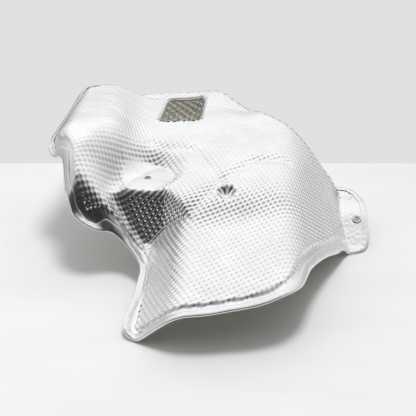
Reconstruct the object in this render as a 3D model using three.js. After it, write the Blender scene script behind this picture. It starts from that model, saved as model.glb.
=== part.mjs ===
// Heat shield that bolts over an exhaust manifold, pressed from two thin embossed aluminium skins
// with an insulation mat between them.  Lengths are in millimetres, +Z is up, and the shield stands
// on its front foot, its bolt tab and the edge of its back wall.
import * as THREE from 'three';
import { mergeVertices } from 'three/addons/utils/BufferGeometryUtils.js';

// --- driving dimensions -------------------------------------------------------------------------
const SKIN = 0.5; // thickness of each aluminium skin
const GAP = 0.3; // clearance between neighbouring layers
const MAT = 1.2; // thickness of the insulation mat
const HEM = 5.5; // width of the hem folded over the outer skin
const WINDOW_HEM = 2.2; // width of the hem round the window
const FLANGE = 10; // flat border between the edge and the raised, embossed field
const STEP = 2; // how far the flat border lies below the raised field
const MAT_INSET = 17; // distance from the sheet's edge to the mat
const EDGE_PITCH = 8; // spacing of points along the sheet's edge
const GRID = 13; // spacing of points on the gently sloped field
const STEEP_GRID = 6.5; // spacing of points where the sheet is steep
const STEEP = 1.1; // slope above which the finer spacing is used

const PAD = { x: -62, y: 36, z: 78, r: 27, seat: 12 }; // flat bolt pad; the mat is cut away at its seat
const BOLT_R = 3.2; // bolt holes take an M6 screw
const TAB_HOLE = { x: 161, y: 56 }; // centre of the hole in the end tab, in plan
const TAB_FOOT = { y: 18, slope: 0.5 }; // lower leaf of the tab: where it meets z = 0, and its slope
const TAB_FOLD = { y: 69, slope: 0.05 }; // upper leaf of the tab, from the fold
const TAB_ROOT = { from: 138, to: 146 }; // the raised field dies out over this stretch of X
const DIMPLE = { x: 18, y: 1, r: 11, depth: 8 }; // pressed dimple in the middle of the shield
const BEAD = { x: 155, y: 89, length: 12, width: 7, height: 1.5 }; // pressed bead on the tab
const FURROW = { depth: 2, width: 6.5 }; // two furrows that run to the dimple
const FURROW_LINES = [
  [[-15, -20], [15, 19], [47, 48], [82, 52]],
  [[-60, 86], [-17, 70], [-5, 49], [15, 19]],
];
const EYELET = { flange: 4.6, wall: 0.5, lip: 0.5 }; // rolled eyelet in the tab hole
const REST = SKIN * 2 + GAP + 0.1; // lowest height of the outer face before its border is pressed

// Edge of the sheet in plan, from the front foot round the right, back and left sides.
const EDGE = [
  [-64, -134], [-47, -140], [-31, -145], [-7, -146], [19, -143], [47, -138], [68, -128], [83, -110],
  [97, -72], [116, -34], [132, -8], [140, 6], [147, 14], [156, 17], [165, 22], [170, 34], [172, 52],
  [172, 72], [169, 92], [162, 107], [150, 113], [136, 113], [122, 120], [104, 136], [78, 164],
  [48, 196], [16, 218],
  [-30, 229], [-68, 226], [-86, 207], [-97, 192], [-116, 184], [-143, 174], [-149, 144],
  [-155, 114], [-161, 84], [-165, 64], [-161, 51], [-152, 42], [-146, 31], [-143, 12], [-139, -4],
  [-130, -17], [-114, -22], [-99, -18], [-86, -20], [-74, -29], [-66, -42], [-67, -62], [-71, -88],
  [-76, -112], [-75, -126],
];
// Window in the top of the shield: its corners in plan and the radius of the corners.
const WINDOW = { corners: [[-55, 132], [-8, 129], [-2, 186], [-47, 184]], r: 6 };

// --- pressed form: height of the outer face over the plan ----------------------------------------
const smin = (a, b, k) => {
  const h = Math.max(k - Math.abs(a - b), 0) / k;
  return Math.min(a, b) - (h * h * k) / 4;
};
const smax = (a, b, k) => -smin(-a, -b, k);
const smooth = (a, b, t) => {
  const u = Math.min(Math.max((t - a) / (b - a), 0), 1);
  return u * u * (3 - 2 * u);
};
// A plane through [x, y, z] with the given slopes along X and Y.
const plane = (x, y, [px, py, pz], gx, gy) => pz + gx * (x - px) + gy * (y - py);
// A plane through [x, y, z] that falls at the given slope towards a compass angle from +X.
const wall = (x, y, [px, py, pz], angle, slope) => {
  const a = THREE.MathUtils.degToRad(angle);
  return pz - slope * ((x - px) * Math.cos(a) + (y - py) * Math.sin(a));
};

// A smooth rise of height 1 about a place, about this wide.
const swell = (x, y, cx, cy, r) => Math.exp(-((x - cx) ** 2 + (y - cy) ** 2) / r ** 2);

// Main dome: front panel, fold, upper run, top, plateau, right shoulder, and the outer walls.
function dome(x, y) {
  let z = smax(plane(x, y, [19, -141, 42], 0.08, 0.235), plane(x, y, [19, -31, 68], 0.03, 0.52), 3);
  z = smin(z, plane(x, y, [19, 0, 81], 0.02, 0.2), 6);
  z = smin(z, plane(x, y, [19, 110, 104], 0.02, 0.03), 8);
  z = smin(z, plane(x, y, [-30, 102, 101], 0.16, 0.13), 8);
  z = smin(z, plane(x, y, [80, 45, 98], -0.33, 0.06), 14);
  z = smin(z, wall(x, y, [128, 50, 80], -3, 3.5), 24);
  z = smin(z, plane(x, y, [88, -72, 50], -1.2, 0.3), 18);
  z = smin(z, wall(x, y, [117, 111, 88], 45, 2.8), 30);
  z += 5 * swell(x, y, 9, 188, 17) - 5 * swell(x, y, 42, 160, 18);
  z = smin(z, wall(x, y, [0, 207, 98], 90, 5), 22);
  return smin(z, wall(x, y, [-86, 196, 98], 140, 5), 16);
}

// Left side of the dome: the flank beside the panel, and the boss that carries the bolt pad.
function boss(x, y) {
  const r = Math.hypot(x - PAD.x, y - PAD.y);
  const flank = plane(x, y, [-25, -90, 50], 1.05, 0.16);
  const cone = PAD.z - (r - PAD.r) * 3.2;
  const spur = wall(x, y, [-32, -9, 74], 224, 3.2);
  const apron = smin(wall(x, y, [-62, 8, 77], 257, 2.3), wall(x, y, [-88, 34, 76], 180, 1.2), 6);
  return smax(flank, smax(smax(cone, spur, 10), apron, 5), 6);
}

// Raised lobe on the left, with its steep front and the flank that opens out towards the back.
function lobe(x, y) {
  const flankSlope = 0.95 + 0.5 * (1 - smooth(20, 150, y));
  const flankTop = -97 - 42 * (1 - smooth(0, 85, y));
  let z = plane(x, y, [-115, 100, 127], 0.05, 0);
  z = smin(z, plane(x, y, [-120, 55, 126], 0, 0.52), 12);
  z = smin(z, plane(x, y, [-130, -1, 95], -0.3, 2.3), 16);
  z = smin(z, 127 - flankSlope * (x - flankTop), 20);
  z = smin(z, plane(x, y, [-146, 100, 122], 0.9, -0.05), 6);
  z = smin(z, plane(x, y, [-143, 15, 91], 1.6, 0.9), 8);
  return smin(z, wall(x, y, [-115, 178, 126], 90, 5), 14);
}

// Bolt tab at the right end: a sloping lower leaf and a level upper leaf with a fold between.
function tab(x, y) {
  const lower = TAB_FOOT.slope * (y - TAB_FOOT.y);
  const foldZ = TAB_FOOT.slope * (TAB_FOLD.y - TAB_FOOT.y);
  const upper = foldZ + TAB_FOLD.slope * (y - TAB_FOLD.y);
  return smin(smin(lower, upper, 6), wall(x, y, [150, 119, 28], 90, 3), 6);
}

// Shallow furrow along a line through the points.
function furrow(line, x, y) {
  let best = Infinity;
  for (let i = 0; i + 1 < line.length; i++) {
    const [ax, ay] = line[i], [bx, by] = line[i + 1];
    const ux = bx - ax, uy = by - ay;
    const t = Math.min(1, Math.max(0, ((x - ax) * ux + (y - ay) * uy) / (ux * ux + uy * uy)));
    best = Math.min(best, Math.hypot(x - ax - t * ux, y - ay - t * uy));
  }
  return -FURROW.depth * Math.exp(-((best / FURROW.width) ** 2));
}

// Everything together, before the border is pressed flat.
function form(x, y) {
  const padRadius = Math.hypot(x - PAD.x, y - PAD.y);
  let z = smin(dome(x, y), boss(x, y), 11);
  z = smin(z, PAD.z + Math.max(0, padRadius - PAD.r) * 0.8, 4);
  z = smax(z, lobe(x, y), 24);
  const leftBorder = plane(x, y, [-65, -41, 22], -0.56, 0.24) - 1.5 * Math.max(0, y - 110);
  z = smax(z, leftBorder, 6);
  z = smax(z, tab(x, y), 5);
  const dimple = Math.hypot(x - DIMPLE.x, y - DIMPLE.y) / DIMPLE.r;
  z -= DIMPLE.depth * (1 - smooth(0.35, 1, dimple));
  const along = Math.max(0, Math.abs(x - BEAD.x) - (BEAD.length - BEAD.width) / 2);
  z += BEAD.height * (1 - smooth(0.4, 1, Math.hypot(along, y - BEAD.y) / (BEAD.width / 2)));
  for (const line of FURROW_LINES) z += furrow(line, x, y);
  return smax(z, REST, 4);
}

// --- plan outlines --------------------------------------------------------------------------------
// Points at an even pitch along a closed curve.
function evenly(curve, pitch) {
  const count = Math.round(curve.getLength() / pitch);
  return curve.getSpacedPoints(count).slice(0, count).map((p) => [p.x, p.y]);
}
const edgeCurve = new THREE.CatmullRomCurve3(EDGE.map(([x, y]) => new THREE.Vector3(x, y, 0)), true);
edgeCurve.arcLengthDivisions = 1200;
const edge = evenly(edgeCurve, EDGE_PITCH);

function roundedLoop(corners, r, arcSteps) {
  const loop = [];
  corners.forEach((corner, i) => {
    const here = new THREE.Vector2(...corner);
    const before = new THREE.Vector2(...corners[(i + 3) % 4]).sub(here).normalize();
    const after = new THREE.Vector2(...corners[(i + 1) % 4]).sub(here).normalize();
    const start = here.clone().addScaledVector(before, r);
    const end = here.clone().addScaledVector(after, r);
    const arc = new THREE.QuadraticBezierCurve(start, here, end);
    arc.getPoints(arcSteps).forEach((p) => loop.push([p.x, p.y]));
    const next = new THREE.Vector2(...corners[(i + 1) % 4]);
    loop.push([(here.x + next.x) / 2, (here.y + next.y) / 2]);
  });
  return loop;
}
const windowLoop = roundedLoop(WINDOW.corners, WINDOW.r, 3);

const ring = (cx, cy, rx, ry, count) =>
  Array.from({ length: count }, (_, i) => {
    const a = (2 * Math.PI * i) / count;
    return [cx + rx * Math.cos(a), cy + ry * Math.sin(a)];
  });
const padHole = ring(PAD.x, PAD.y, BOLT_R, BOLT_R, 12);
const tabHoleR = BOLT_R + EYELET.wall + GAP;
const tabHoleDepth = tabHoleR * Math.cos(Math.atan(TAB_FOOT.slope));
const tabHole = ring(TAB_HOLE.x, TAB_HOLE.y, tabHoleR, tabHoleDepth, 12);

function distanceTo(loop, x, y) {
  let best = Infinity;
  loop.forEach(([ax, ay], i) => {
    const [bx, by] = loop[(i + 1) % loop.length];
    const [ux, uy] = [bx - ax, by - ay];
    const t = Math.min(Math.max(((x - ax) * ux + (y - ay) * uy) / (ux * ux + uy * uy), 0), 1);
    best = Math.min(best, Math.hypot(x - ax - t * ux, y - ay - t * uy));
  });
  return best;
}
function inside(loop, x, y) {
  let odd = false;
  loop.forEach(([ax, ay], i) => {
    const [bx, by] = loop[(i + 1) % loop.length];
    if (ay > y !== by > y && x < ((bx - ax) * (y - ay)) / (by - ay) + ax) odd = !odd;
  });
  return odd;
}
// Copy of a loop moved sideways in plan; a positive distance moves to the left of its direction.
function offset(loop, d) {
  return loop.map(([x, y], i) => {
    const [ax, ay] = loop[(i + loop.length - 1) % loop.length];
    const [bx, by] = loop[(i + 1) % loop.length];
    const n = Math.hypot(bx - ax, by - ay);
    return [x - (d * (by - ay)) / n, y + (d * (bx - ax)) / n];
  });
}

// --- outer face with its pressed border -----------------------------------------------------------
const borderOf = (x, y) => Math.min(distanceTo(edge, x, y), distanceTo(windowLoop, x, y) + FLANGE - 1);
const raised = (x, y) =>
  smooth(FLANGE - 1, FLANGE + 2, borderOf(x, y)) * (1 - smooth(TAB_ROOT.from, TAB_ROOT.to, x));
const height = (x, y) => form(x, y) - STEP * (1 - raised(x, y));
function normalAt(x, y) {
  const e = 0.6;
  const gx = (form(x + e, y) - form(x - e, y)) / (2 * e);
  const gy = (form(x, y + e) - form(x, y - e)) / (2 * e);
  return new THREE.Vector3(-gx, -gy, 1).normalize();
}
const slopeAt = (x, y) => {
  const n = normalAt(x, y);
  return Math.hypot(n.x, n.y) / n.z;
};

// --- plan mesh shared by the layers ----------------------------------------------------------------
const points = [];
const addAll = (list) => list.map((p) => points.push(p) - 1);
const edgeRing = addAll(edge);
const hemRing = addAll(offset(edge, HEM));
const windowRing = addAll(windowLoop);
const windowHemRing = addAll(offset(windowLoop, -WINDOW_HEM));
const padHoleRing = addAll(padHole);
const tabHoleRing = addAll(tabHole);
const field = hemRing.map((i) => points[i]);
const windowField = windowHemRing.map((i) => points[i]);
// Free points inside the field, each at least the given distance from the points before it.
const loose = [];
function addLoose(list, clear) {
  list.forEach(([x, y]) => {
    const near = (p) => Math.hypot(p[0] - x, p[1] - y) < clear;
    if (!inside(field, x, y) || inside(windowField, x, y) || points.some(near)) return;
    if (distanceTo(field, x, y) < clear * 0.55 || distanceTo(windowField, x, y) < clear * 0.55) return;
    loose.push(points.push([x, y]) - 1);
  });
}
addLoose(offset(edge, FLANGE + 2.5), 3);
addLoose(offset(edge, MAT_INSET), 4);
addLoose(offset(windowLoop, -MAT_INSET + FLANGE - 1), 4);
addLoose(ring(PAD.x, PAD.y, PAD.seat - 1, PAD.seat - 1, 14), 3);
addLoose(ring(PAD.x, PAD.y, PAD.r, PAD.r, 28), 3);
addLoose(ring(PAD.x, PAD.y, PAD.r + 4, PAD.r + 4, 30), 3);
addLoose([[DIMPLE.x, DIMPLE.y]], 2);
addLoose(ring(DIMPLE.x, DIMPLE.y, DIMPLE.r * 0.4, DIMPLE.r * 0.4, 8), 2);
addLoose(ring(DIMPLE.x, DIMPLE.y, DIMPLE.r, DIMPLE.r, 12), 2);
const plan = new THREE.Box2().setFromPoints(edge.map(([x, y]) => new THREE.Vector2(x, y)));
function hexGrid(pitch, keep) {
  const grid = [];
  const rowPitch = (pitch * Math.sqrt(3)) / 2;
  for (let y = plan.min.y, row = 0; y < plan.max.y; y += rowPitch, row += 1) {
    for (let x = plan.min.x + ((row % 2) * pitch) / 2; x < plan.max.x; x += pitch) {
      if (keep(x, y)) grid.push([x, y]);
    }
  }
  return grid;
}
addLoose(hexGrid(STEEP_GRID, (x, y) => slopeAt(x, y) > STEEP), STEEP_GRID * 0.75);
addLoose(hexGrid(GRID, () => true), GRID * 0.62);

// Delaunay triangles of the points from the hem line inwards, by adding one point at a time.
function delaunay(ids) {
  const far = 5000;
  const pts = [...points, [-far, -far], [far, -far], [0, far]];
  const n = points.length;
  const circle = (a, b, c) => {
    const [[ax, ay], [bx, by], [cx, cy]] = [pts[a], pts[b], pts[c]];
    const d = 2 * (ax * (by - cy) + bx * (cy - ay) + cx * (ay - by));
    const [a2, b2, c2] = [ax * ax + ay * ay, bx * bx + by * by, cx * cx + cy * cy];
    const ux = (a2 * (by - cy) + b2 * (cy - ay) + c2 * (ay - by)) / d;
    const uy = (a2 * (cx - bx) + b2 * (ax - cx) + c2 * (bx - ax)) / d;
    return { v: [a, b, c], ux, uy, r2: (ax - ux) ** 2 + (ay - uy) ** 2 };
  };
  let tris = [circle(n, n + 1, n + 2)];
  ids.forEach((id) => {
    const [x, y] = pts[id];
    const open = new Map();
    tris = tris.filter((t) => {
      if ((x - t.ux) ** 2 + (y - t.uy) ** 2 > t.r2 * (1 + 1e-9)) return true;
      t.v.forEach((a, k) => {
        const b = t.v[(k + 1) % 3];
        if (!open.delete(`${b},${a}`)) open.set(`${a},${b}`, [a, b]);
      });
      return false;
    });
    open.forEach(([a, b]) => tris.push(circle(a, b, id)));
  });
  return tris.map((t) => t.v).filter((v) => v.every((i) => i < n));
}
const centre = (tri) => [0, 1].map((k) => (points[tri[0]][k] + points[tri[1]][k] + points[tri[2]][k]) / 3);
const inner = [...hemRing, ...windowHemRing, ...padHoleRing, ...tabHoleRing, ...loose];
const fieldTris = delaunay(inner).filter((tri) => {
  const [x, y] = centre(tri);
  if (!inside(field, x, y) || inside(windowField, x, y)) return false;
  return !inside(padHole, x, y) && !inside(tabHole, x, y);
});
// Quads between two rings with the same number of points, each split along one of its diagonals.
// The folded hem runs back over the border, so it takes the other diagonal to match the one below.
function strip(from, to, other = false) {
  return from.flatMap((a, i) => {
    const j = (i + 1) % from.length;
    if (other) return [[a, from[j], to[i]], [from[j], to[j], to[i]]];
    return [[a, from[j], to[j]], [a, to[j], to[i]]];
  });
}
const hemTris = strip(edgeRing, hemRing);
const windowHemTris = strip(windowHemRing, windowRing);

const base = points.map(([x, y]) => new THREE.Vector3(x, y, height(x, y)));
const normal = points.map(([x, y]) => normalAt(x, y));
const border = points.map(([x, y]) => borderOf(x, y));
const at = (i, depth) => base[i].clone().addScaledVector(normal[i], -depth);

// --- solids ------------------------------------------------------------------------------------------
// Closed sheet: each vertex has an upper and a lower place, and open edges get a wall between them.
function sheet(tris, upper, lower) {
  const positions = [];
  const face = (a, b, c) => [a, b, c].forEach((p) => positions.push(p.x, p.y, p.z));
  const open = new Map();
  tris.forEach(([a, b, c]) => {
    face(upper[a], upper[b], upper[c]);
    face(lower[a], lower[c], lower[b]);
    [[a, b], [b, c], [c, a]].forEach(([p, q]) => {
      if (!open.delete(`${q},${p}`)) open.set(`${p},${q}`, [p, q]);
    });
  });
  open.forEach(([p, q]) => {
    face(upper[p], lower[p], lower[q]);
    face(upper[p], lower[q], upper[q]);
  });
  const geometry = new THREE.BufferGeometry();
  geometry.setAttribute('position', new THREE.Float32BufferAttribute(positions, 3));
  return mergeVertices(geometry, 1e-4);
}

const skinTris = [...fieldTris, ...hemTris, ...windowHemTris];
function outerSkin() {
  return sheet(skinTris, base, base.map((_, i) => at(i, SKIN)));
}

// The mat fills the raised field and stops short of the border, the window, the pad's seat and the
// tab.  A point counts as inside the field when it is within a small margin of the mat's line.
const MAT_MARGIN = 3;
const matKeep = (i) =>
  border[i] > MAT_INSET - MAT_MARGIN &&
  Math.hypot(points[i][0] - PAD.x, points[i][1] - PAD.y) > PAD.seat &&
  points[i][0] < TAB_ROOT.from;
const matTris = fieldTris.filter((tri) => tri.every(matKeep));
function insulationMat() {
  const top = base.map((_, i) => at(i, SKIN + GAP));
  return sheet(matTris, top, base.map((_, i) => at(i, SKIN + GAP + MAT)));
}

// The inner skin lies under the mat, comes up to the outer skin at the border, and its edge is
// folded round the outer skin's edge into a hem.
function innerSkin() {
  const matted = new Set(matTris.flat());
  const drop = base.map((_, i) => (matted.has(i) ? SKIN + GAP + MAT + GAP : SKIN + GAP));
  const upper = base.map((_, i) => at(i, drop[i]));
  const lower = base.map((_, i) => at(i, drop[i] + SKIN));
  const tris = [...skinTris];
  // One more ring of the folded edge: where its two faces lie above the outer face, and how far out.
  const addRing = (rim, out, face, back) =>
    rim.map((id, i) => {
      upper.push(at(id, -face).addScaledVector(out[i], GAP));
      lower.push(at(id, -back).addScaledVector(out[i], GAP + SKIN));
      return upper.length - 1;
    });
  const foldRound = (rim, hem, side) => {
    const out = rim.map((id, i) => {
      const before = base[rim[(i + rim.length - 1) % rim.length]];
      const after = base[rim[(i + 1) % rim.length]];
      return after.clone().sub(before).cross(normal[id]).normalize().multiplyScalar(side);
    });
    const under = addRing(rim, out, -SKIN - GAP, -2 * SKIN - GAP);
    const over = addRing(rim, out, GAP, GAP + SKIN);
    const lip = hem.map((id) => {
      upper.push(at(id, -GAP));
      lower.push(at(id, -GAP - SKIN));
      return upper.length - 1;
    });
    [[rim, under], [under, over], [over, lip]].forEach(([from, to]) => {
      const other = to === lip;
      tris.push(...(side > 0 ? strip(to, from, other) : strip(from, to, other)));
    });
  };
  foldRound(edgeRing, hemRing, 1);
  foldRound(windowRing, windowHemRing, -1);
  return sheet(tris, upper, lower);
}

// Rolled eyelet that lines the tab hole and clamps both skins.
function tabEyelet() {
  const depth = 2 * SKIN + GAP;
  const bore = BOLT_R;
  const barrel = BOLT_R + EYELET.wall;
  const profile = [
    [bore, -depth - GAP - EYELET.lip], [EYELET.flange, -depth - GAP - EYELET.lip],
    [EYELET.flange, -depth - GAP], [barrel, -depth - GAP], [barrel, GAP], [EYELET.flange, GAP],
    [EYELET.flange, GAP + EYELET.lip], [bore, GAP + EYELET.lip],
    [bore, -depth - GAP - EYELET.lip],
  ].map(([r, z]) => new THREE.Vector2(r, z));
  const geometry = new THREE.LatheGeometry(profile, 24);
  geometry.rotateX(Math.PI / 2);
  return geometry;
}

// --- object -------------------------------------------------------------------------------------------
const shield = new THREE.Group();
function add(name, geometry, look) {
  const mesh = new THREE.Mesh(geometry, new THREE.MeshStandardMaterial(look));
  mesh.name = name;
  shield.add(mesh);
  return mesh;
}
add('outer_skin', outerSkin(), { color: 0xd9dadb, metalness: 1, roughness: 0.25 });
add('insulation_mat', insulationMat(), { color: 0xe6e2d6, metalness: 0, roughness: 0.95 });
add('inner_skin', innerSkin(), { color: 0xcfd0d1, metalness: 1, roughness: 0.3 });
const eyelet = add('tab_eyelet', tabEyelet(), { color: 0xc8c9cb, metalness: 1, roughness: 0.35 });
eyelet.position.set(TAB_HOLE.x, TAB_HOLE.y, height(TAB_HOLE.x, TAB_HOLE.y));
eyelet.quaternion.setFromUnitVectors(new THREE.Vector3(0, 0, 1), normalAt(TAB_HOLE.x, TAB_HOLE.y));

// The origin is under the middle of the shield, on the surface that it stands on.
const box = new THREE.Box3().setFromObject(shield);
shield.position.set(-(box.min.x + box.max.x) / 2, -(box.min.y + box.max.y) / 2, -box.min.z);

export default shield;
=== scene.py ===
import math

import bpy
import numpy as np
from mathutils import Matrix, Vector
from mathutils.geometry import delaunay_2d_cdt


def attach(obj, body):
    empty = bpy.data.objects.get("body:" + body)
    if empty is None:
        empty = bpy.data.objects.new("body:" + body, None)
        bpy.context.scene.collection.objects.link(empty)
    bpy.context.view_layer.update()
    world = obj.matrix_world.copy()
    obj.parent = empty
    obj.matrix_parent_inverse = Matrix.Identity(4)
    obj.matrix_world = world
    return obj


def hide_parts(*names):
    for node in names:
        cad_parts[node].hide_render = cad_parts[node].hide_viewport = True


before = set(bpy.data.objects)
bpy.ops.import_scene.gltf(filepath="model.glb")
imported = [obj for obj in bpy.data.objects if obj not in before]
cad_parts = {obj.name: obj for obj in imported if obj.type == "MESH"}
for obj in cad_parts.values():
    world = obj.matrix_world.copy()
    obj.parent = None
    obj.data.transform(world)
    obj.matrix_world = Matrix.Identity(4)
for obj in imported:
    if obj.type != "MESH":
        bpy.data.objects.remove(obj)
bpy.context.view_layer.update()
bpy.ops.object.select_all(action="DESELECT")

# ---- Outer skin --------------------------------------------------------------------------------
# The sheet that is seen from outside: half-millimetre aluminium, embossed all over with a square
# pattern of small round bumps and then pressed in a tool to the form of the manifold beneath.
# Its flat border is trapped in the hem of the inner skin.  Lengths here are in millimetres.
SKIN = 0.5
GAP = 0.3
HEM = 5.5
WINDOW_HEM = 2.2
FLANGE = 10  # flat border between the edge and the raised field
STEP = 2  # how far the flat border lies below the raised field
TABLE_TOP = SKIN * 2 + GAP + 0.1  # lowest height of the outer face before its border is pressed
PLACE = np.array([-3.629, -41.718, 2.096])  # the press tool's own origin in the row frame

PAD = (-62, 36, 78)
PAD_R = 27
BOLT_R = 3.2
TAB_HOLE = (161, 56)
TAB_HOLE_R = 4.0
TAB_LOWER = (18, 0.5)  # lower leaf of the tab: Y where it meets the ground, and its slope
TAB_UPPER = (69, 0.05)  # upper leaf of the tab: Y of the fold, and its slope
DIMPLE = (18, 1, 11, 8)  # X, Y, radius and depth
FLUTES = 9  # folds that gather round the dimple
FLUTE = 0.13  # their height, as a share of its radius
BEAD = (155, 89, 12, 7, 1.5)  # X, Y, length, width and height
TAB_BLEND = (138, 146)  # X between which the shield's raised field runs out into the plain tab

EDGE = [
    (-64, -134), (-47, -140), (-31, -145), (-7, -146), (19, -143), (47, -138), (68, -128),
    (83, -110), (97, -72), (116, -34), (132, -8), (140, 6), (147, 14), (156, 17), (165, 22),
    (170, 34), (172, 52), (172, 72), (169, 92), (162, 107), (150, 113), (136, 113), (122, 120),
    (104, 136), (78, 164), (48, 196), (16, 218), (-30, 229), (-68, 226), (-86, 207), (-97, 192),
    (-116, 184), (-143, 174), (-149, 144), (-155, 114), (-161, 84), (-165, 64), (-161, 51),
    (-152, 42), (-146, 31), (-143, 12), (-139, -4), (-130, -17), (-114, -22), (-99, -18),
    (-86, -20), (-74, -29), (-66, -42), (-67, -62), (-71, -88), (-76, -112), (-75, -126),
]
WINDOW = [(-55, 132), (-8, 129), (-2, 186), (-47, 184)]
WINDOW_R = 6
EDGE_PITCH = 1.6  # between the points along the edge
WINDOW_PITCH = 1.4


def soft_min(a, b, k):
    h = np.maximum(k - np.abs(a - b), 0) / k
    return np.minimum(a, b) - h * h * k / 4


def soft_max(a, b, k):
    return -soft_min(-a, -b, k)


def ease(a, b, t):
    u = np.clip((t - a) / (b - a), 0, 1)
    return u * u * (3 - 2 * u)


def plane(x, y, through, slope_x, slope_y):
    return through[2] + slope_x * (x - through[0]) + slope_y * (y - through[1])


def wall(x, y, through, towards, slope):
    """A plane that falls at this slope towards a compass angle, in degrees from +X."""
    a = math.radians(towards)
    run = (x - through[0]) * math.cos(a) + (y - through[1]) * math.sin(a)
    return through[2] - slope * run


def swell(x, y, centre, radius):
    """A smooth rise of height 1 about a place, about this wide."""
    return np.exp(-((x - centre[0]) ** 2 + (y - centre[1]) ** 2) / radius ** 2)


def dome(x, y):
    """Front panel, fold, upper run, top, plateau, right shoulder and the outer walls."""
    front = plane(x, y, (19, -141, 42), 0.08, 0.235)
    z = soft_max(front, plane(x, y, (19, -31, 68), 0.03, 0.52), 3)
    z = soft_min(z, plane(x, y, (19, 0, 81), 0.02, 0.2), 6)
    z = soft_min(z, plane(x, y, (19, 110, 104), 0.02, 0.03), 8)
    z = soft_min(z, plane(x, y, (-30, 102, 101), 0.16, 0.13), 8)
    z = soft_min(z, plane(x, y, (80, 45, 98), -0.33, 0.06), 14)
    z = soft_min(z, wall(x, y, (128, 50, 80), -3, 3.5), 24)
    z = soft_min(z, plane(x, y, (88, -72, 50), -1.2, 0.3), 18)
    z = soft_min(z, wall(x, y, (117, 111, 88), 45, 2.8), 30)
    z = z + 5 * swell(x, y, (9, 188), 17) - 5 * swell(x, y, (42, 160), 18)
    z = soft_min(z, wall(x, y, (0, 207, 98), 90, 4.45), 22)
    return soft_min(z, wall(x, y, (-86, 196, 98), 140, 5), 16)


def boss(x, y):
    """Flank beside the front panel, and the boss that carries the bolt pad."""
    r = np.hypot(x - PAD[0], y - PAD[1])
    flank = plane(x, y, (-25, -90, 50), 1.05, 0.16)
    cone = PAD[2] - (r - PAD_R) * 3.2
    spur = wall(x, y, (-32, -9, 74), 224, 3.2)
    apron = soft_min(wall(x, y, (-62, 8, 77), 257, 2.3), wall(x, y, (-88, 34, 76), 180, 1.2), 6)
    return soft_max(flank, soft_max(soft_max(cone, spur, 10), apron, 5), 6)


def lobe(x, y):
    """Raised lobe on the left, with a steep front and a flank that opens towards the back."""
    flank_slope = 0.95 + 0.5 * (1 - ease(20, 150, y))
    flank_top = -97 - 42 * (1 - ease(0, 85, y))
    z = plane(x, y, (-115, 100, 127), 0.05, 0)
    z = soft_min(z, plane(x, y, (-120, 55, 126), 0, 0.52), 12)
    z = soft_min(z, plane(x, y, (-130, -1, 95), -0.3, 2.3), 16)
    z = soft_min(z, 127 - flank_slope * (x - flank_top), 20)
    z = soft_min(z, plane(x, y, (-146, 100, 122), 0.9, -0.05), 6)
    z = soft_min(z, plane(x, y, (-143, 15, 91), 1.6, 0.9), 8)
    return soft_min(z, wall(x, y, (-115, 178, 126), 90, 5), 14)


def tab(x, y):
    """Bolt tab at the right end: a sloping lower leaf, a fold and a level upper leaf."""
    lower = TAB_LOWER[1] * (y - TAB_LOWER[0])
    fold_z = TAB_LOWER[1] * (TAB_UPPER[0] - TAB_LOWER[0])
    upper = fold_z + TAB_UPPER[1] * (y - TAB_UPPER[0])
    return soft_min(soft_min(lower, upper, 6), wall(x, y, (150, 119, 28), 90, 3), 6)


# Two shallow furrows run from the boss and from the plateau towards the dimple and the shoulder.
FURROWS = [[(-15, -20), (15, 19), (47, 48), (82, 52)], [(-60, 86), (-17, 70), (-5, 49), (15, 19)]]
FURROW_DEPTH = 2.0
FURROW_WIDTH = 6.5


def way_off(line, x, y):
    """Distance to a line through the points."""
    best = np.full(np.shape(x), np.inf)
    for (ax, ay), (bx, by) in zip(line, line[1:]):
        ux, uy = bx - ax, by - ay
        t = np.clip(((x - ax) * ux + (y - ay) * uy) / (ux * ux + uy * uy), 0, 1)
        best = np.minimum(best, np.hypot(x - ax - t * ux, y - ay - t * uy))
    return best


def form(x, y):
    """Height of the press tool under the outer face, before the border is pressed flat."""
    pad_r = np.hypot(x - PAD[0], y - PAD[1])
    z = soft_min(dome(x, y), boss(x, y), 11)
    z = soft_min(z, PAD[2] + np.maximum(0, pad_r - PAD_R) * 0.8, 4)
    z = soft_max(z, lobe(x, y), 24)
    left_border = plane(x, y, (-65, -41, 22), -0.56, 0.24) - 1.5 * np.maximum(0, y - 110)
    z = soft_max(z, left_border, 6)
    z = soft_max(z, tab(x, y), 5)
    cx, cy, radius, depth = DIMPLE
    fluted = radius * (1 + FLUTE * np.cos(FLUTES * np.arctan2(y - cy, x - cx)))
    z = z - depth * (1 - ease(0.3, 1, np.hypot(x - cx, y - cy) / fluted))
    cx, cy, length, width, height = BEAD
    along = np.maximum(0, np.abs(x - cx) - (length - width) / 2)
    z = z + height * (1 - ease(0.4, 1, np.hypot(along, y - cy) / (width / 2)))
    for furrow in FURROWS:
        z = z - FURROW_DEPTH * np.exp(-(way_off(furrow, x, y) / FURROW_WIDTH) ** 2)
    return soft_max(z, TABLE_TOP, 4)


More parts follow.
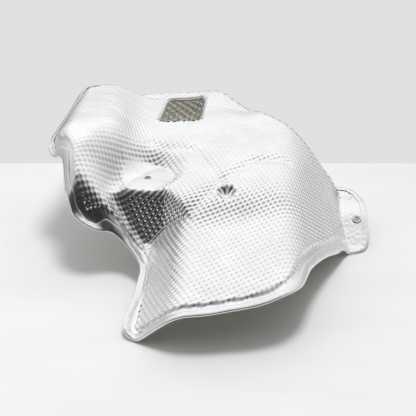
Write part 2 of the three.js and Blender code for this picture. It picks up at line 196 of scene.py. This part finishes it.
# The sheet's edge is a smooth closed curve through the points above, and the window is a
# four-sided hole with rounded corners.  Each loop has the material on its left.
def smooth_loop(knots, pitch):
    """Centripetal curve through the knots, with points at an even pitch."""
    p = np.array(knots, float)
    before, start, end, after = (np.roll(p, k, axis=0) for k in (1, 0, -1, -2))
    pairs = ((before, start), (start, end), (end, after))
    gap = [np.linalg.norm(b - a, axis=1) ** 0.5 for a, b in pairs]
    t0, t1, t2, t3 = (v[:, None, None] for v in (0 * gap[0], gap[0], gap[0] + gap[1], sum(gap)))
    t = t1 + (t2 - t1) * np.linspace(0, 1, 24, endpoint=False)[None, :, None]
    p0, p1, p2, p3 = (v[:, None, :] for v in (before, start, end, after))
    a1 = (t1 - t) / (t1 - t0) * p0 + (t - t0) / (t1 - t0) * p1
    a2 = (t2 - t) / (t2 - t1) * p1 + (t - t1) / (t2 - t1) * p2
    a3 = (t3 - t) / (t3 - t2) * p2 + (t - t2) / (t3 - t2) * p3
    b1 = (t2 - t) / (t2 - t0) * a1 + (t - t0) / (t2 - t0) * a2
    b2 = (t3 - t) / (t3 - t1) * a2 + (t - t1) / (t3 - t1) * a3
    dense = ((t2 - t) / (t2 - t1) * b1 + (t - t1) / (t2 - t1) * b2).reshape(-1, 2)
    return evenly(dense, pitch)


def evenly(loop, pitch):
    """The same closed loop with points at an even pitch."""
    closed = np.vstack([loop, loop[:1]])
    way = np.concatenate([[0], np.cumsum(np.linalg.norm(np.diff(closed, axis=0), axis=1))])
    stops = np.arange(round(way[-1] / pitch)) * way[-1] / round(way[-1] / pitch)
    return np.stack([np.interp(stops, way, closed[:, k]) for k in (0, 1)], axis=1)


def rounded_hole(corners, radius, pitch):
    """Rounded polygon, turned so that the material is on its left."""
    p = np.array(corners, float)
    loop = []
    for k in range(len(p)):
        before = (p[k - 1] - p[k]) / np.linalg.norm(p[k - 1] - p[k])
        after = (p[(k + 1) % len(p)] - p[k]) / np.linalg.norm(p[(k + 1) % len(p)] - p[k])
        for t in np.linspace(0, 1, 9):
            loop.append(p[k] + radius * ((1 - t) ** 2 * before + t ** 2 * after))
    return evenly(np.array(loop[::-1]), pitch)


def round_hole(centre, radius, squash, count):
    a = -2 * math.pi * np.arange(count) / count
    x = centre[0] + radius * np.cos(a)
    return np.stack([x, centre[1] + radius * squash * np.sin(a)], axis=1)


tab_tilt = math.cos(math.atan(TAB_LOWER[1]))
edge = smooth_loop(EDGE, EDGE_PITCH)
window = rounded_hole(WINDOW, WINDOW_R, WINDOW_PITCH)
pad_hole = round_hole(PAD, BOLT_R, 1, 40)
tab_hole = round_hole(TAB_HOLE, TAB_HOLE_R, tab_tilt, 40)
loops = [edge, window, pad_hole, tab_hole]

# Maps over the plan: how far each place is from the edge and from the window, and how far the
# metal had to flow from the flat blank, so that the embossing keeps its pitch on the steep walls.
CELL = 2.0
plan_x = np.arange(-190, 199, CELL)
plan_y = np.arange(-168, 251, CELL)
grid_x, grid_y = np.meshgrid(plan_x, plan_y, indexing="ij")


def look_up(chart, x, y):
    """Value of a map at plan places between its points."""
    i = np.clip((x - plan_x[0]) / CELL, 0, len(plan_x) - 1.001)
    j = np.clip((y - plan_y[0]) / CELL, 0, len(plan_y) - 1.001)
    a, b = i - np.floor(i), j - np.floor(j)
    i, j = i.astype(int), j.astype(int)
    low = chart[i, j] * (1 - a) + chart[i + 1, j] * a
    high = chart[i, j + 1] * (1 - a) + chart[i + 1, j + 1] * a
    return low * (1 - b) + high * b


def crossings(starts, ends, x, y):
    """Number of edges that a ray from each place towards +X crosses."""
    count = np.zeros(x.shape, int)
    for (ax, ay), (bx, by) in zip(starts, ends):
        if ay != by:
            count += ((ay > y) != (by > y)) & (x < (bx - ax) * (y - ay) / (by - ay) + ax)
    return count


def depth_inside(loop):
    """Map of the distance to a loop, positive inside it."""
    best = np.full(grid_x.shape, np.inf)
    ends = np.roll(loop, -1, axis=0)
    for a, b in zip(loop, ends):
        u = b - a
        t = np.clip(((grid_x - a[0]) * u[0] + (grid_y - a[1]) * u[1]) / (u @ u), 0, 1)
        best = np.minimum(best, np.hypot(grid_x - a[0] - t * u[0], grid_y - a[1] - t * u[1]))
    return np.where(crossings(loop, ends, grid_x, grid_y) % 2, best, -best)


from_edge = depth_inside(edge[::2])
from_window = -depth_inside(window)
border = np.minimum(from_edge, from_window + FLANGE - 1)


def cosine_steps(values, axis, back=False):
    """Cosine transform along one axis, and back, for the even flow problem."""
    n = values.shape[axis]
    k = np.arange(n)
    table = np.cos(np.pi * np.outer(k, k + 0.5) / n)
    if back:
        table = table.T * np.where(k == 0, 1, 2)[None, :] / n
    return np.moveaxis(np.tensordot(table, values, axes=(1, axis)), 0, axis)


def even_flow(step_x, step_y):
    """Map whose steps along X and Y come nearest to the given ones."""
    pull = np.zeros(grid_x.shape)
    pull[:-1] -= step_x * CELL
    pull[1:] += step_x * CELL
    pull[:, :-1] -= step_y * CELL
    pull[:, 1:] += step_y * CELL
    n, m = pull.shape
    stiff = (2 - 2 * np.cos(np.pi * np.arange(n) / n))[:, None]
    stiff = stiff + (2 - 2 * np.cos(np.pi * np.arange(m) / m))[None, :]
    stiff[0, 0] = 1
    waves = cosine_steps(cosine_steps(pull, 0), 1) / stiff
    waves[0, 0] = 0
    return cosine_steps(cosine_steps(waves, 0, True), 1, True)


PITCH = 5.0  # pitch of the embossing
TURN = math.radians(26)  # direction of its rows
MOST_SLOPE = 2.2  # on steeper walls the metal stretched instead
tool = form(grid_x, grid_y)
excess_x = np.sqrt(1 + np.minimum(np.abs(np.diff(tool, axis=0)) / CELL, MOST_SLOPE) ** 2) - 1
excess_y = np.sqrt(1 + np.minimum(np.abs(np.diff(tool, axis=1)) / CELL, MOST_SLOPE) ** 2) - 1
flow_x = even_flow(excess_x, 0 * excess_y)
flow_y = even_flow(0 * excess_x, excess_y)
slopes = [np.gradient(chart, CELL, axis=k) for chart in (flow_x, flow_y) for k in (0, 1)]


def pattern_at(x, y):
    """Place in the embossing, counted in bumps along its two rows."""
    a, b = x + look_up(flow_x, x, y), y + look_up(flow_y, x, y)
    u = (a * math.cos(TURN) + b * math.sin(TURN)) / PITCH
    return u, (b * math.cos(TURN) - a * math.sin(TURN)) / PITCH


def plan_of(u, v):
    """Plan place of each point of the flat embossed blank after pressing."""
    a = PITCH * (u * math.cos(TURN) - v * math.sin(TURN))
    b = PITCH * (u * math.sin(TURN) + v * math.cos(TURN))
    x, y = a.copy(), b.copy()
    for share in np.linspace(0.1, 1, 10):
        for _ in range(3):
            miss_x = x + share * look_up(flow_x, x, y) - a
            miss_y = y + share * look_up(flow_y, x, y) - b
            xx, xy, yx, yy = (share * look_up(chart, x, y) for chart in slopes)
            det = (1 + xx) * (1 + yy) - xy * yx
            x = x - ((1 + yy) * miss_x - xy * miss_y) / det
            y = y - ((1 + xx) * miss_y - yx * miss_x) / det
    return x, y


BLANK_U = (-50, 62)  # reach of the flat blank, counted in bumps along its rows
BLANK_V = (-56, 56)


def blank_points(step):
    """Plan places of the blank's points after pressing, this many bumps apart."""
    u, v = np.meshgrid(np.arange(*BLANK_U, step), np.arange(*BLANK_V, step), indexing="ij")
    return plan_of(u, v)


def quads_within(keep):
    """Quads whose four corners are kept, numbered over the corners that they use, and those corners."""
    cells = keep[:-1, :-1] & keep[1:, :-1] & keep[1:, 1:] & keep[:-1, 1:]
    used = np.zeros(keep.shape, bool)
    for di, dj in ((0, 0), (1, 0), (1, 1), (0, 1)):
        used[di:di + cells.shape[0], dj:dj + cells.shape[1]] |= cells
    number = np.full(keep.shape, -1)
    number[used] = np.arange(used.sum())
    i, j = np.nonzero(cells)
    corners = (number[i, j], number[i + 1, j], number[i + 1, j + 1], number[i, j + 1])
    return np.stack(corners, axis=1), used


def open_sides(quads, count):
    """Sides that only one of the quads has, where there are this many points."""
    sides = np.vstack([quads[:, [k, (k + 1) % 4]] for k in range(4)])
    code, back = sides[:, 0] * count + sides[:, 1], sides[:, 1] * count + sides[:, 0]
    return sides[~np.isin(code, back)]


def blank(step, clear):
    """Plan mesh of the sheet: rows of quads along the embossing, joined to the loops by triangles.
    Returns the plan places, the faces, and the numbers of each loop's points."""
    x, y = blank_points(step)
    keep = (look_up(from_edge, x, y) > clear) & (look_up(from_window, x, y) > clear)
    keep &= np.hypot(x - PAD[0], y - PAD[1]) > BOLT_R + clear
    keep &= np.hypot(x - TAB_HOLE[0], (y - TAB_HOLE[1]) / tab_tilt) > TAB_HOLE_R + clear
    quads, used = quads_within(keep)
    faces = quads + sum(len(loop) for loop in loops)
    points = np.vstack(loops + [np.stack([x[used], y[used]], axis=1)])
    rings = []
    start = 0
    for loop in loops:
        rings.append(start + np.arange(len(loop)))
        start += len(loop)
    rims = np.vstack([np.stack([ring, np.roll(ring, -1)], axis=1) for ring in rings])
    lines = np.vstack([rims, open_sides(faces, len(points))])
    ids = np.unique(lines)
    local = {int(k): n for n, k in enumerate(ids)}
    coords = [Vector(points[k]) for k in ids]
    links = [(local[int(a)], local[int(b)]) for a, b in lines]
    out, _, tris, source, _, _ = delaunay_2d_cdt(coords, links, [], 0, 1e-6)
    back_to = [ids[s[0]] for s in source]
    tris = np.array([[back_to[k] for k in tri] for tri in tris])
    mid = points[tris].mean(axis=1)
    odd = crossings(points[lines[:, 0]], points[lines[:, 1]], mid[:, 0], mid[:, 1]) % 2 == 1
    return points, faces.tolist() + tris[odd].tolist(), rings


def ripple(x, y):
    """Slight waviness that pressing leaves in such thin sheet."""
    wave = np.sin(x / 11 + 1.3 * np.sin(y / 17)) * np.sin(y / 13 + 1.1 * np.sin(x / 19))
    fine = np.sin(x / 5.3 + y / 7.1) * np.sin(y / 6.1 - x / 8.7)
    crumple = np.sin(x / 1.9 + 2 * np.sin(y / 3.1)) * np.sin(y / 1.7 + 1.5 * np.sin(x / 2.7))
    return 0.16 * wave + 0.1 * fine + 0.22 * crumple * ease(144, 149, x)


def normals_at(x, y):
    e = 0.6
    gx = (form(x + e, y) - form(x - e, y)) / (2 * e)
    gy = (form(x, y + e) - form(x, y - e)) / (2 * e)
    n = np.stack([-gx, -gy, np.ones_like(gx)], axis=1)
    return n / np.linalg.norm(n, axis=1)[:, None]


BUMP = 1.25  # height of the embossed bumps
STRETCHED = 0.6  # how much higher they stand along the fold, where the light catches them
IRONED = 0.6  # how much of them the press flattens on the lobe
ON_TAB = 0.25  # how much of them is left on the tab


def face_at(x, y, depth, bumps=0.0):
    """Places on a face that lies this deep below the outer face, with embossed bumps."""
    inwards = look_up(border, x, y)
    off_tab = 1 - ease(*TAB_BLEND, x)
    raised = ease(FLANGE - 0.6, FLANGE + 1.2, inwards) * off_tab
    z = form(x, y) - STEP * (1 - raised) + ripple(x, y) * ease(0, FLANGE, inwards)
    n = normals_at(x, y)
    place = np.stack([x, y, z], axis=1) - n * np.reshape(depth, (-1, 1))
    if bumps:
        u, v = pattern_at(x, y)
        shape = (1 + np.cos(2 * np.pi * u)) * (1 + np.cos(2 * np.pi * v)) / 4
        pad_r = np.hypot(x - PAD[0], y - PAD[1])
        cx, cy, radius, _ = DIMPLE
        plain = 1 - ease(PAD_R - 4, PAD_R + 1, pad_r)
        plain = plain + (1 - ease(0.75, 1.1, np.hypot(x - cx, y - cy) / radius))
        fade = ease(FLANGE - 3, FLANGE + 2, inwards) * (1 - (1 - ON_TAB) * (1 - off_tab))
        fade = fade * (1 - np.clip(plain, 0, 1))
        stretched = 1 + STRETCHED * np.exp(-((y + 12) / 24) ** 2) * ease(-40, -5, x)
        ironed = 1 - IRONED * (1 - ease(-110, -55, x)) * ease(-10, 30, y)
        place = place + n * (bumps * shape * fade * stretched * ironed)[:, None]
    return place


def band(ring, following):
    """Quads from one ring of points to the next."""
    a, b = np.roll(ring, -1), np.roll(following, -1)
    return np.stack([ring, a, b, following], axis=1).tolist()


def piece(name, places, faces):
    """A mesh object from places in millimetres in the tool's frame, with smooth shading."""
    mesh = bpy.data.meshes.new(name)
    mesh.from_pydata(((places + PLACE) * 0.001).tolist(), [], faces)
    mesh.update()
    mesh.shade_smooth()
    made = bpy.data.objects.new(name, mesh)
    bpy.context.scene.collection.objects.link(made)
    return made


fine_plan, fine_faces, fine_rings = blank(0.25, 1.3)
coarse_plan, coarse_faces, coarse_rings = blank(1.0, 2.5)

above = face_at(fine_plan[:, 0], fine_plan[:, 1], 0, BUMP)
below = face_at(coarse_plan[:, 0], coarse_plan[:, 1], SKIN)
shift = len(above)
skin_faces = fine_faces + [[shift + k for k in face[::-1]] for face in coarse_faces]
for top, bottom in zip(fine_rings, coarse_rings):
    skin_faces += band(shift + bottom, top)
outer_skin = piece("embossed_outer_skin", np.vstack([above, below]), skin_faces)


class Wire:
    """One socket of a material.  Arithmetic on it adds Math nodes to the material."""

    def __init__(self, finish, socket):
        self.finish = finish
        self.socket = socket

    def math(self, operation, first, second):
        return self.finish.node("ShaderNodeMath", {"operation": operation}, {0: first, 1: second})

    def __add__(self, other):
        return self.math("ADD", self, other)

    def __radd__(self, other):
        return self.math("ADD", other, self)

    def __sub__(self, other):
        return self.math("SUBTRACT", self, other)

    def __rsub__(self, other):
        return self.math("SUBTRACT", other, self)

    def __mul__(self, other):
        return self.math("MULTIPLY", self, other)

    def __rmul__(self, other):
        return self.math("MULTIPLY", other, self)

    def __pow__(self, other):
        return self.math("POWER", self, other)


class Finish:
    """The node tree of a material or of the room, and its shader."""

    def __init__(self, owner, shader="Principled BSDF"):
        owner.use_nodes = True
        self.owner = owner
        self.tree = owner.node_tree
        self.shader = self.tree.nodes[shader]

    def node(self, kind, settings, sockets, output=0):
        """One node: its settings first, then the values or wires of its sockets."""
        made = self.tree.nodes.new(kind)
        for key, value in settings.items():
            if key == "stops":
                ramp = made.color_ramp
                while len(ramp.elements) < len(value):
                    ramp.elements.new(0.5)
                for element, (position, colour) in zip(ramp.elements, value):
                    element.position = position
                    element.color = (*colour, 1)
            else:
                setattr(made, key, value)
        for key, value in sockets.items():
            self.feed(made.inputs[key], value)
        return Wire(self, made.outputs[output])

    def feed(self, socket, value):
        if isinstance(value, Wire):
            self.tree.links.new(value.socket, socket)
        else:
            socket.default_value = value

    def place(self, scale=(1, 1, 1), turn=0.0):
        """Object coordinates, stretched and turned about Z."""
        coords = self.node("ShaderNodeTexCoord", {}, {}, "Object")
        sockets = {"Vector": coords, "Scale": scale, "Rotation": (0, 0, turn)}
        return self.node("ShaderNodeMapping", {}, sockets)

    def noise(self, where, scale, detail=3.0, roughness=0.5):
        sockets = {"Vector": where, "Scale": scale, "Detail": detail, "Roughness": roughness}
        return self.node("ShaderNodeTexNoise", {}, sockets)

    def ramp(self, factor, *stops):
        return self.node("ShaderNodeValToRGB", {"stops": stops}, {"Fac": factor})

    def bump(self, height, distance, strength=1.0):
        sockets = {"Height": height, "Distance": distance, "Strength": strength}
        return self.node("ShaderNodeBump", {}, sockets)

    def mix(self, factor, first, second):
        """One colour where the factor is 0 and another where it is 1."""
        sockets = {"Factor": factor, "A": first, "B": second}
        return self.node("ShaderNodeMix", {"data_type": "RGBA"}, sockets, "Result")

    def dot(self, vector, other):
        sockets = {0: vector, 1: other}
        return self.node("ShaderNodeVectorMath", {"operation": "DOT_PRODUCT"}, sockets, "Value")


def bright_sheet(name, pale, dull, rough, grain, painted_underside_shade=None):
    """Bright rolled aluminium with rolling lines, dull smudges and small scuffs.  Given an
    underside shade colour, it gets painted shade: that colour is mixed in where it faces downwards."""
    finish = Finish(bpy.data.materials.new(name))
    rolled = finish.noise(finish.place((3, 160, 160), -TURN), 6, 4)
    smudge = finish.noise(finish.place(), 26, 5, 0.6)
    scuff = finish.noise(finish.place((1, 1, 1), 0.4), 900, 2)
    tone = smudge * 0.6 + rolled * 0.4
    colour = finish.ramp(tone, (0.3, dull), (0.62, pale))
    if painted_underside_shade:
        # Painted shade: where the surface faces downwards, a darker olive colour is mixed in for the shade
        # that falls there.
        normal = finish.node("ShaderNodeNewGeometry", {}, {}, "Normal")
        up = finish.dot(normal, (0, 0, 1))
        colour = finish.mix(up * 6 + 0.9, (*painted_underside_shade, 1), colour)
    finish.feed(finish.shader.inputs["Base Color"], colour)
    finish.feed(finish.shader.inputs["Metallic"], 1.0)
    finish.feed(finish.shader.inputs["Roughness"], rough + (smudge - 0.5) * 0.22 + (scuff - 0.5) * 0.08)
    relief = rolled * 0.5 + scuff * 0.5
    finish.feed(finish.shader.inputs["Normal"], finish.bump(relief, grain))
    return finish.owner


outer_skin.data.materials.append(
    bright_sheet("embossed_aluminium", (0.95, 0.955, 0.96), (0.78, 0.79, 0.8), 0.17, 0.00003))
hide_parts("outer_skin")
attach(outer_skin, "root")

# ---- Insulation mat ----------------------------------------------------------------------------
# Needled mineral fibre, about a millimetre thick when pressed, cut smaller than the sheet so that
# it stays clear of the border, the window, the pad's seat and the tab.  It lies loose between skins.
MAT = 1.2
MAT_INSET = 15.5
MAT_END = 136  # X where it stops short of the tab
PAD_SEAT = 13

mat_x, mat_y = blank_points(0.5)


def mat_room(x, y):
    """Distance inwards from the mat's own outline."""
    room = np.minimum(look_up(border, x, y) - MAT_INSET, MAT_END - x)
    return np.minimum(room, np.hypot(x - PAD[0], y - PAD[1]) - PAD_SEAT)


mat_quads, used = quads_within(mat_room(mat_x, mat_y) > 0)
mat_xs, mat_ys = mat_x[used], mat_y[used]
mat_count = len(mat_xs)
rim_sides = open_sides(mat_quads, mat_count)
rim = np.unique(rim_sides)
for _ in range(3):
    room = mat_room(mat_xs[rim], mat_ys[rim])
    gx = (mat_room(mat_xs[rim] + 1, mat_ys[rim]) - mat_room(mat_xs[rim] - 1, mat_ys[rim])) / 2
    gy = (mat_room(mat_xs[rim], mat_ys[rim] + 1) - mat_room(mat_xs[rim], mat_ys[rim] - 1)) / 2
    mat_xs[rim] -= 0.5 * room * gx
    mat_ys[rim] -= 0.5 * room * gy
mat_top = face_at(mat_xs, mat_ys, SKIN + GAP)
mat_bottom = face_at(mat_xs, mat_ys, SKIN + GAP + MAT)
mat_faces = mat_quads.tolist() + (mat_count + mat_quads[:, ::-1]).tolist()
mat_faces += [[mat_count + a, mat_count + b, b, a] for a, b in rim_sides.tolist()]
mat = piece("mineral_fibre_mat", np.vstack([mat_top, mat_bottom]), mat_faces)

fibre = Finish(bpy.data.materials.new("mineral_fibre"))
tufts = fibre.noise(fibre.place(), 180, 6, 0.65)
strands = fibre.noise(fibre.place((1, 7, 3), 0.7), 420, 4)
fibre.feed(fibre.shader.inputs["Base Color"], fibre.ramp(
    tufts * 0.6 + strands * 0.4, (0.25, (0.62, 0.57, 0.47)), (0.7, (0.88, 0.85, 0.77))))
fibre.feed(fibre.shader.inputs["Roughness"], 0.85 + tufts * 0.12)
fibre.feed(fibre.shader.inputs["Sheen Weight"], 0.3)
fibre.feed(fibre.shader.inputs["Normal"], fibre.bump(tufts * 0.5 + strands * 0.5, 0.0006))
mat.data.materials.append(fibre.owner)
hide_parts("insulation_mat")
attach(mat, "root")

# ---- Inner skin and its hem --------------------------------------------------------------------
# The second embossed sheet, on the manifold's side.  It is cut larger than the outer skin, and its
# edge is folded up and over the outer skin's edge, which holds the whole sandwich together.  The
# folded lip is smooth, and puckers where the edge turns a corner.
FOLD_OUT = 0.8  # how far the fold stands out beyond the outer skin's edge
under_rim = SKIN * 2 + GAP  # depth of the inner skin's lower face at the border
drop = SKIN + GAP + MAT + GAP  # depth of the inner skin's upper face under the mat


def skin_depth(x, y):
    """Depth of the inner skin's upper face: under the mat it lies lower."""
    return SKIN + GAP + (drop - SKIN - GAP) * ease(-2.5, 0.5, mat_room(x, y))


fx, fy = fine_plan[:, 0], fine_plan[:, 1]
cx, cy = coarse_plan[:, 0], coarse_plan[:, 1]
under = face_at(fx, fy, skin_depth(fx, fy) + SKIN, -BUMP)
over = face_at(cx, cy, skin_depth(cx, cy))
parts = [under, over]
upper_at = len(under)
inner_faces = [face[::-1] for face in fine_faces]
inner_faces += [[upper_at + k for k in face] for face in coarse_faces]
for k in (2, 3):
    inner_faces += band(fine_rings[k], upper_at + coarse_rings[k])


def folded(loop, lower_ring, upper_ring, width, seed):
    """Hem round one loop: out from the lower face, over the outer skin, and back inside the fold.
    The seed sets where its ripples fall."""
    before, after = np.roll(loop, 1, axis=0), np.roll(loop, -1, axis=0)
    along = after - before
    along /= np.linalg.norm(along, axis=1)[:, None]
    left = np.stack([-along[:, 1], along[:, 0]], axis=1)
    bend = np.cross(loop - before, after - loop) / EDGE_PITCH ** 2
    soft = sum(np.roll(bend, k) for k in range(-5, 6)) / 11
    way = np.arange(len(loop)) * EDGE_PITCH
    gather = np.clip(np.abs(soft) * 14, 0, 1)
    pucker = np.sin(way / 1.15 + seed) * gather * 0.28 + np.sin(way / 4.3 + seed * 2) * 0.1
    width = width + np.sin(way / 9.1 + seed) * 0.3 + np.sin(way / 2.3 + seed) * gather * 0.5
    mid = under_rim / 2 - GAP / 2
    half = mid + GAP + SKIN
    turns = np.radians((-55, -25, 0, 25, 55))
    profile = [(FOLD_OUT * math.cos(a), mid - half * math.sin(a), 0.15) for a in turns]
    profile += [(-0.12 * width, -GAP - SKIN - 0.15, 0.6), (-0.45 * width, -GAP - SKIN - 0.3, 1.0)]
    profile += [(-0.8 * width, -GAP - SKIN - 0.12, 1.0), (-0.97 * width, -GAP - SKIN, 0.8)]
    profile += [(-width, -GAP - 0.25, 0.6), (-0.98 * width, -GAP, 0.4), (-0.4 * width, -GAP, 0)]
    profile += [(0.2, -GAP, 0), (FOLD_OUT - 0.5, mid, 0)]
    rings = [lower_ring]
    for out, depth, share in profile:  # distance outwards, depth, and share of the puckers
        place = loop - left * np.reshape(out, (-1, 1))
        z_depth = depth - pucker * share
        parts.append(face_at(place[:, 0], place[:, 1], z_depth))
        start = sum(len(p) for p in parts[:-1])
        rings.append(start + np.arange(len(loop)))
    rings.append(upper_ring)
    faces = []
    for ring, following in zip(rings, rings[1:]):
        faces += band(ring, following)
    return faces


inner_faces += folded(edge, fine_rings[0], upper_at + coarse_rings[0], HEM, 0.4)
inner_faces += folded(window, fine_rings[1], upper_at + coarse_rings[1], WINDOW_HEM, 2.1)
inner_skin = piece("hemmed_inner_skin", np.vstack(parts), inner_faces)
# Its downward-facing side gets painted shade in a darker olive grey (0.74, 0.72, 0.64).
inner_skin.data.materials.append(bright_sheet(
    "inner_aluminium", (0.91, 0.915, 0.92), (0.76, 0.77, 0.78), 0.24, 0.00003, (0.74, 0.72, 0.64)))
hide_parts("inner_skin")
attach(inner_skin, "root")

# ---- Eyelet in the tab -------------------------------------------------------------------------
# A short rolled aluminium tube through the tab's hole, flared over both faces so that it clamps the
# skins and takes the pressure of the screw.
EYELET_R = 4.6
low = -under_rim - GAP  # height of its lower flare's face, measured from the tab's upper face
profile = [
    (BOLT_R, low), (BOLT_R + 0.15, low - 0.4), (BOLT_R + 0.6, low - 0.55),
    (EYELET_R - 0.15, low - 0.45), (EYELET_R, low - 0.2), (EYELET_R - 0.1, low),
    (BOLT_R + 0.5, low), (BOLT_R + 0.5, GAP), (EYELET_R - 0.1, GAP), (EYELET_R, GAP + 0.2),
    (EYELET_R - 0.15, GAP + 0.45), (BOLT_R + 0.6, GAP + 0.55), (BOLT_R + 0.15, GAP + 0.4), (BOLT_R, GAP),
]
bpy.ops.mesh.primitive_circle_add(vertices=56, radius=BOLT_R * 0.001, location=(0, 0, profile[0][1] * 0.001))
eyelet = bpy.context.object
eyelet.name = "rolled_eyelet"
bpy.ops.object.transform_apply(location=True, rotation=True, scale=True)
bpy.ops.object.mode_set(mode="EDIT")
bpy.ops.mesh.select_all(action="SELECT")
for (r0, z0), (r1, z1) in zip(profile, profile[1:] + profile[:1]):
    bpy.ops.mesh.extrude_edges_move(TRANSFORM_OT_translate={"value": (0, 0, (z1 - z0) * 0.001)})
    bpy.ops.transform.resize(value=(r1 / r0, r1 / r0, 1), center_override=(0, 0, 0))
bpy.ops.mesh.select_all(action="SELECT")
bpy.ops.mesh.remove_doubles(threshold=0.00001)
bpy.ops.mesh.normals_make_consistent(inside=False)
bpy.ops.object.mode_set(mode="OBJECT")
bpy.ops.object.shade_smooth_by_angle(angle=math.radians(40))
hole_x, hole_y = np.array([TAB_HOLE[0]]), np.array([TAB_HOLE[1]])
seat = (face_at(hole_x, hole_y, 0)[0] + PLACE) * 0.001
lean = Vector((0, 0, 1)).rotation_difference(Vector(normals_at(hole_x, hole_y)[0]))
eyelet.data.transform(Matrix.Translation(seat) @ lean.to_matrix().to_4x4())
eyelet.data.materials.append(
    bright_sheet("eyelet_aluminium", (0.88, 0.89, 0.9), (0.7, 0.71, 0.72), 0.26, 0.00002))
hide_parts("tab_eyelet")
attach(eyelet, "root")

# ---- Studio ------------------------------------------------------------------------------------
# A pale table that ends a little behind the shield, a small soft light overhead, a large one low on
# the left, a light grey room behind and a dark one in front.
AIM = Vector((-0.0036, -0.0417, 0.0641))
ELEVATION = math.radians(29)
DISTANCE = 0.85
LENS = 73.56
SENSOR = 36
camera = bpy.data.objects.new("camera", bpy.data.cameras.new("camera"))
bpy.context.scene.collection.objects.link(camera)
camera.location = AIM + DISTANCE * Vector((0, -math.cos(ELEVATION), math.sin(ELEVATION)))
camera.rotation_euler = (math.pi / 2 - ELEVATION, 0, 0)
camera.data.lens = LENS
camera.data.sensor_width = SENSOR
bpy.context.scene.camera = camera

bpy.ops.object.select_all(action="DESELECT")
bpy.ops.mesh.primitive_plane_add(size=1, location=(0, -0.158, -0.0002))
table = bpy.context.object
table.name = "table"
table.scale = (2.4, 0.7, 1)
board = Finish(bpy.data.materials.new("table_top"))
grain = board.noise(board.place(), 14, 2)
board.feed(board.shader.inputs["Base Color"], board.ramp(
    grain, (0.3, (0.73, 0.73, 0.73)), (0.7, (0.76, 0.76, 0.76))))
board.feed(board.shader.inputs["Roughness"], 0.6 + grain * 0.1)
table.data.materials.append(board.owner)

for name, size, energy, place in (
        ("overhead_soft_light", 0.3, 8.4, (0.05, -0.02, 1.2)),
        ("left_soft_light", 0.9, 3.2, (-1.1, -0.3, 0.45))):
    light = bpy.data.objects.new(name, bpy.data.lights.new(name, "AREA"))
    light.data.size = size
    light.data.energy = energy
    light.location = place
    light.visible_glossy = False
    light.rotation_euler = (-Vector(place)).to_track_quat("-Z", "Y").to_euler()
    bpy.context.scene.collection.objects.link(light)

bpy.context.scene.world = bpy.data.worlds.new("room")
room = Finish(bpy.context.scene.world, "Background")
direction = room.node("ShaderNodeTexCoord", {}, {}, "Generated")
lift = room.dot(direction, (0, 0.5, 0.6))
side = room.dot(direction, (1, 0, 0))
shade = room.ramp(
    (lift + side * side * 0.3) * 0.6 + 0.4,
    (0.16, (0.02, 0.02, 0.02)), (0.43, (0.08, 0.08, 0.081)), (0.58, (0.3, 0.3, 0.305)),
    (0.7, (0.55, 0.55, 0.555)), (0.78, (0.82, 0.82, 0.82)), (0.856, (1.06, 1.06, 1.06)))
seen = room.node("ShaderNodeLightPath", {}, {}, "Is Camera Ray")
room.feed(room.shader.inputs["Color"], room.mix(seen, shade, (0.745, 0.75, 0.75, 1)))
bpy.context.scene.view_settings.view_transform = "Standard"
